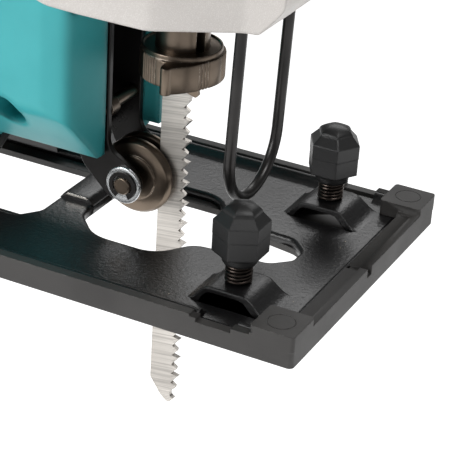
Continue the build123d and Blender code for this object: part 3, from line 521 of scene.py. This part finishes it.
# ---- guide-bar clamps ---------------------------------------------------------------
def hexagon(flats, z, turn, centre):
    radius = flats / 2 / math.cos(math.pi / 6)
    ring = []
    for index in range(6):
        angle = math.radians(turn + 60 * index)
        ring.append((centre[0] + radius * math.cos(angle), centre[1] + radius * math.sin(angle), z))
    return ring


def knob(side, body, node, turn):
    """Six-sided thumb knob with faceted shoulders, a domed top and a round foot."""
    centre = (CLAMP_X, side * CLAMP_Y)
    top = KNOB_SHOULDER + 1.9
    levels = [(KNOB_FLATS - 1.2, KNOB_BOTTOM - 0.12), (KNOB_FLATS, KNOB_BOTTOM + 0.25),
              (KNOB_FLATS, KNOB_BOTTOM + 4.2), (KNOB_FLATS + 0.12, KNOB_BOTTOM + 4.3),
              (KNOB_FLATS + 0.12, KNOB_SHOULDER), (KNOB_TOP_FLATS, top)]
    body_part = rings_to_mesh("body", [hexagon(flats, z, turn, centre) for flats, z in levels])
    rings = []
    for level in range(9):
        share = level / 9
        rise = 1.95 * math.sin(share * math.pi / 2)
        round_ring = []
        for corner in finer_hexagon(KNOB_TOP_FLATS, turn):
            reach = corner.length * (1 - share) + 3.75 * share
            out = corner.normalized() * reach * math.cos(share * math.pi / 2)
            round_ring.append((centre[0] + out.x, centre[1] + out.y, top + rise))
        rings.append(round_ring)
    dome = rings_to_mesh("dome", rings)
    profile = [(3.1, KNOB_FOOT), (3.5, KNOB_FOOT + 0.1), (3.75, KNOB_FOOT + 0.5), (3.85, KNOB_FOOT + 1.6),
               (4.3, KNOB_BOTTOM)]
    foot = lathe("foot", (*centre, 0.0), (0, 0, 1), profile, 48)
    whole = join(node + ".look", [body_part, dome, foot])
    dress(whole, "knob_plastic", body, node, angle=14)


def finer_hexagon(flats, turn):
    """Points all round a hexagon, eight to a side."""
    corners = [Vector(point[:2]) for point in hexagon(flats, 0.0, turn, (0.0, 0.0))]
    points = []
    for index, corner in enumerate(corners):
        after = corners[(index + 1) % 6]
        points += [corner.lerp(after, part / 8) for part in range(8)]
    return points


def clamp_screw(side, body, node):
    """Threaded screw between the knob and the bar."""
    centre = (CLAMP_X, side * CLAMP_Y, 0.0)
    profile = [(1.0, 4.65), (1.6, 5.1)]
    z = 5.1
    while z < 14.0:
        profile += [(SCREW_R, z + 0.22), (SCREW_R, z + 0.30), (1.62, z + 0.52), (1.62, z + 0.7)]
        z += THREAD_PITCH
    dress(lathe(node + ".look", centre, (0, 0, 1), profile, 40), "black_steel", body, node, angle=30)


def clamp_spring(side, node):
    """Coil spring under the knob's foot, its end coils closed."""
    radius, wire = 2.6, 0.33
    low, high = BRIDGE_TOP + wire + 0.02, KNOB_FOOT - wire - 0.05
    turns, steps = 5.0, 36
    path = []
    for index in range(int(turns * steps) + 1):
        angle = 2 * math.pi * index / steps
        turn = index / steps
        rise = 0.66 * min(turn, 1.0) + 0.66 * max(0.0, turn - turns + 1.0)
        rise += (high - low - 1.32) * min(1.0, max(0.0, (turn - 1.0) / (turns - 2.0)))
        x, y = CLAMP_X + radius * math.cos(angle), side * CLAMP_Y + radius * math.sin(angle)
        path.append(Vector((x, y, low + rise)))
    made = dress(sweep_wire(node + ".look", path, wire, 10), "spring_steel", None, node)
    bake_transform(made)


def clamps():
    for side, name, turn in ((-1, "right", 30.0), (1, "left", 0.0)):
        knob(side, f"clamp_{name}", f"guide_knob_{name}", turn)
        clamp_screw(side, f"clamp_{name}", f"guide_screw_{name}")
        clamp_spring(side, f"guide_spring_{name}")


# ---- blade and its clamp ------------------------------------------------------------
def blade():
    """T-shank blade with its teeth set to alternate sides."""
    points, faces = [], []

    def corner(x, y, z):
        points.append((x, y, z))
        return len(points) - 1

    first = BLADE_TIP + 3.0
    levels = [first + index * TOOTH_PITCH for index in range(TOOTH_COUNT + 1)]
    spine = []
    for z in levels:
        back = max(BLADE_BACK, BLADE_BACK + (BLADE_TIP + 4.6 - z) * 1.1)
        spine.append([corner(back, -BLADE_HALF, z), corner(GULLET_X, -BLADE_HALF, z),
                      corner(GULLET_X, BLADE_HALF, z), corner(back, BLADE_HALF, z)])
    for index in range(TOOTH_COUNT):
        low, high = spine[index], spine[index + 1]
        lean = TOOTH_SET if index % 2 else -TOOTH_SET
        z = levels[index] + TOOTH_PITCH * 0.78
        near_x = TOOTH_X - (0.35 if lean > 0 else 0.0)
        far_x = TOOTH_X - (0.0 if lean > 0 else 0.35)
        near = corner(near_x, lean - BLADE_HALF * 0.9, z)
        far = corner(far_x, lean + BLADE_HALF * 0.9, z)
        faces += [(low[0], low[1], high[1], high[0]), (low[3], high[3], high[2], low[2]),
                  (low[0], high[0], high[3], low[3])]
        faces += [(low[1], near, high[1]), (low[2], high[2], far), (low[1], low[2], far, near),
                  (near, far, high[2], high[1])]
    toothed = build("toothed", points, faces)
    tip = side_shape("tip", spine_end(), -BLADE_HALF, BLADE_HALF)
    top = [(BLADE_BACK, levels[-1]), (GULLET_X, levels[-1]), (2.6, levels[-1] + 1.5), (3.0, 35.9), (2.4, 38.6),
           (2.4, 44), (4.1, 44), (4.1, 48), (2.4, 48), (2.0, 50.7), (-2.9, 50.7), (-3.3, 48), (-5.0, 48),
           (-5.0, 44), (-3.3, 44), (-3.3, 39), (BLADE_BACK, 36.2)]
    shank = side_shape("shank", [Vector(point) for point in top], -BLADE_HALF, BLADE_HALF)
    dress(join("blade.look", [toothed, tip, shank]), "blade_steel", "plunger", "blade", angle=25)


def spine_end():
    """Outline of the blade's slanted end with its last hooked tooth."""
    start = BLADE_TIP + 3.0
    return [Vector(point) for point in (
        (BLADE_BACK + 1.76, start), (-1.2, BLADE_TIP + 1.5), (0.2, BLADE_TIP + 0.35), (0.9, BLADE_TIP + 0.02),
        (1.4, BLADE_TIP + 0.25), (2.3, BLADE_TIP + 1.35), (1.75, BLADE_TIP + 1.55), (1.35, BLADE_TIP + 1.9),
        (1.25, BLADE_TIP + 2.4), (GULLET_X, start))]


def collar_outline(margin):
    """Plan of the release ring: round, with a thumb lug on the right and knurled patches."""
    tip, tip_round = Vector((2.55, -11.9)), 1.15
    points = []
    for index in range(COLLAR_STEPS):
        angle = 2 * math.pi * index / COLLAR_STEPS
        out = Vector((math.cos(angle), math.sin(angle)))
        degrees = (math.degrees(angle) + 180) % 360 - 180
        reach = COLLAR_R - 0.35 if degrees < -90 or degrees > 150 else COLLAR_R
        if abs(tip.cross(out)) < tip_round and tip.dot(out) > 0:
            reach = max(reach, tip.dot(out) + math.sqrt(tip_round ** 2 - tip.cross(out) ** 2))
        elif -78 < degrees < -16:
            share = (degrees + 78) / 62
            reach = max(reach, 12.9 + (COLLAR_R - 12.9) * math.sin(share * math.pi / 2) ** 0.8)
        knurled = -40 < degrees < -22 or 0 < degrees < 62 or -128 < degrees < -100 or 118 < degrees < 168
        if knurled:
            reach += 0.30 * abs(math.sin(angle * 36)) - 0.28
        points.append((out * (reach - margin)).to_tuple())
    return points


def collar():
    """Release ring of the blade clamp, with a raised rim round its dished top."""
    low, high = COLLAR_Z
    rings = []
    for margin, z in ((0.4, low), (0.1, low + 0.1), (0.0, low + 0.4), (0.0, high - 0.4), (0.1, high - 0.1),
                      (0.4, high)):
        rings.append([(x, y, z) for x, y in collar_outline(margin)])
    rim, top = COLLAR_RIM
    for radius, z in ((rim + 0.1, high), (rim, high + 0.1), (rim, top - 0.25), (rim - 0.1, top - 0.05),
                      (rim - 0.3, top), (rim - 0.5, top - 0.05), (8.2, top - 0.4), (SLEEVE_R, top - 0.4),
                      (SLEEVE_R, low)):
        angles = [2 * math.pi * index / COLLAR_STEPS for index in range(COLLAR_STEPS)]
        rings.append([(radius * math.cos(angle), radius * math.sin(angle), z) for angle in angles])
    made = rings_to_mesh("clamp_collar.look", rings, loop=True)
    dress(made, "tool_steel", "collar", "clamp_collar", angle=40)


# ---- roller, fork and guard ---------------------------------------------------------
def at_roller(y):
    return (ROLLER[0], y, ROLLER[1])


def roller():
    """Grooved roller with flat flange faces and bevelled rims."""
    half = [(2.05, 3.8), (4.9, 3.8), (5.1, 3.72), (5.2, 3.5), (5.3, 3.42), (7.95, 3.3), (8.1, 3.22),
            (8.75, 2.35),
            (8.8, 2.2), (8.8, 1.6), (8.7, 1.35), (8.3, 0.95), (7.9, 0.86), (4.6, 0.82), (4.4, 0.7)]
    profile = half + [(radius, -height) for radius, height in reversed(half)]
    made = lathe("roller.look", at_roller(0), (0, 1, 0), profile, 96, closed=True)
    dress(made, "tool_steel", "roller", "roller", angle=28)


def axle_parts():
    """Axle, bright washer and dark E-clip on the roller's right side."""
    axle = [(1.2, -9.2), (1.75, -9.15), (2.0, -8.95), (2.0, -8.9), (1.5, -8.88), (1.5, -8.5), (2.0, -8.48),
            (2.0, 7.7),
            (3.2, 7.72), (3.4, 7.9), (3.4, 8.9), (3.2, 9.1)]
    pin = lathe("roller_axle.look", at_roller(0), (0, 1, 0), axle, 48)
    dress(pin, "tool_steel", "fork", "roller_axle", angle=28)
    washer = [(2.1, -7.74), (4.25, -7.74), (4.3, -7.8), (4.3, -8.2), (4.15, -8.38), (3.9, -8.42), (2.25, -8.42),
              (2.1, -8.36)]
    made = lathe("axle_washer.look", at_roller(0), (0, 1, 0), washer, 64, closed=True)
    dress(made, "zinc_plate", "fork", "axle_washer", angle=28)
    dress(e_clip(), "black_steel", "fork", "axle_clip", width=0.08, segments=2)


def e_clip():
    """Retaining clip: a round spring plate, open at the bottom, with three inner prongs."""
    outer, inner = [], []
    for index in range(41):
        angle = math.radians(-62 + 304 * index / 40)
        way = Vector((math.cos(angle), math.sin(angle)))
        prong = min(abs((math.degrees(angle) - middle + 180) % 360 - 180) for middle in (-50, 90, 230))
        outer.append(way * 3.35)
        inner.append(way * (1.52 if prong < 16 else 2.35))
    outline = [Vector(ROLLER) + point for point in outer + inner[::-1]]
    return side_shape("axle_clip.look", outline, -8.86, -8.5)


def fork():
    """Pressed channel behind the blade, with its edges softened."""
    dress(copied("roller_fork"), "black_steel", "fork", "roller_fork", width=0.22, segments=2)


def guard():
    """Finger guard: one wire bent to a U in front of the blade."""
    bend_z = GUARD_BOTTOM + GUARD_WIRE_R + GUARD_HALF
    heights = (GUARD_TOP, 60.0, 50.0, 40.0, bend_z + 3)
    path = [(-GUARD_HALF, z) for z in heights]
    for index in range(37):
        angle = math.pi + math.pi * index / 36
        path.append((GUARD_HALF * math.cos(angle), bend_z + GUARD_HALF * math.sin(angle)))
    path += [(GUARD_HALF, z) for z in reversed(heights)]
    leaning = [Vector((GUARD_X + GUARD_LEAN * (z - bend_z), y, z)) for y, z in path]
    dress(sweep_wire("blade_guard.look", leaning, GUARD_WIRE_R, 20), "black_steel", "tool", "blade_guard")


# ---- the CAD nodes that are shown as they are ---------------------------------------
def paint_frame():
    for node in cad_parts.values():
        for place in node.material_slots:
            place.material = MATERIALS[place.material.name.split(".")[0]]
        node.data.shade_smooth()
        node.data.set_sharp_from_angle(angle=math.radians(28))


# ---- studio -------------------------------------------------------------------------
def camera():
    """Long lens in front of the tool's right side, looking down, turned a little."""
    turn, height, roll = (math.radians(angle) for angle in (25.627, 27.313, -3.636))
    right = Vector((math.cos(turn), math.sin(turn), 0.0))
    back = Vector((math.sin(turn) * math.cos(height), -math.cos(turn) * math.cos(height), math.sin(height)))
    up = back.cross(right)
    level = math.cos(roll) * right - math.sin(roll) * up
    upright = math.sin(roll) * right + math.cos(roll) * up
    data = bpy.data.cameras.new("camera")
    data.lens = 142.5
    data.sensor_width = 36.0
    data.clip_start = 0.01
    made = bpy.data.objects.new("camera", data)
    bpy.context.collection.objects.link(made)
    place = Matrix((level, upright, back)).transposed().to_4x4()
    place.translation = Vector((163.17, -313.80, 185.47)) * MM
    made.matrix_world = place
    bpy.context.scene.camera = made


def softbox(name, place, target, size, watts):
    data = bpy.data.lights.new(name, "AREA")
    data.shape = "RECTANGLE"
    data.size, data.size_y = size
    data.energy = watts
    made = bpy.data.objects.new(name, data)
    bpy.context.collection.objects.link(made)
    made.location = place
    made.rotation_euler = (Vector(place) - Vector(target)).to_track_quat("Z", "Y").to_euler()


def paper():
    """White paper that glows a little, so that it stays pale."""
    tones = (0.93, 0.93, 0.93), (0.91, 0.91, 0.91)
    material = surface("paper", *tones, (0.85, 0.95), grain=(300.0, 0.02), edge=0.0)
    body = next(item for item in material.node_tree.nodes if item.type == "BSDF_PRINCIPLED")
    body.inputs["Emission Color"].default_value = (1.0, 1.0, 1.0, 1.0)
    body.inputs["Emission Strength"].default_value = 0.75
    return material


def studio():
    """Pale floor well below the tool, a dim white surround and three soft boxes."""
    size = FLOOR_SIZE_M
    points = [(-size, -size), (size, -size), (size, size), (-size, size)]
    floor = build("floor", [(x / MM, y / MM, FLOOR_Z_M / MM) for x, y in points], [(0, 1, 2, 3)])
    floor.data.materials.append(paper())
    world = bpy.data.worlds.new("surround")
    world.use_nodes = True
    world.node_tree.nodes["Background"].inputs["Color"].default_value = (1.0, 1.0, 1.0, 1.0)
    world.node_tree.nodes["Background"].inputs["Strength"].default_value = 0.16
    bpy.context.scene.world = world
    bpy.context.scene.view_settings.view_transform = "Standard"
    middle = (0.0, 0.0, 0.03)
    softbox("key", (-0.55, -0.95, 0.45), middle, (0.6, 0.5), 7.0)
    softbox("front", (0.45, -0.15, 1.0), middle, (0.4, 0.4), 5.0)
    softbox("back", (-0.2, 0.9, 0.7), middle, (0.8, 0.4), 3.0)


MATERIALS = finishes()
paint_frame()
sole_plate()
shoe()
clamps()
blade()
collar()
roller()
axle_parts()
fork()
guard()
camera()
studio()
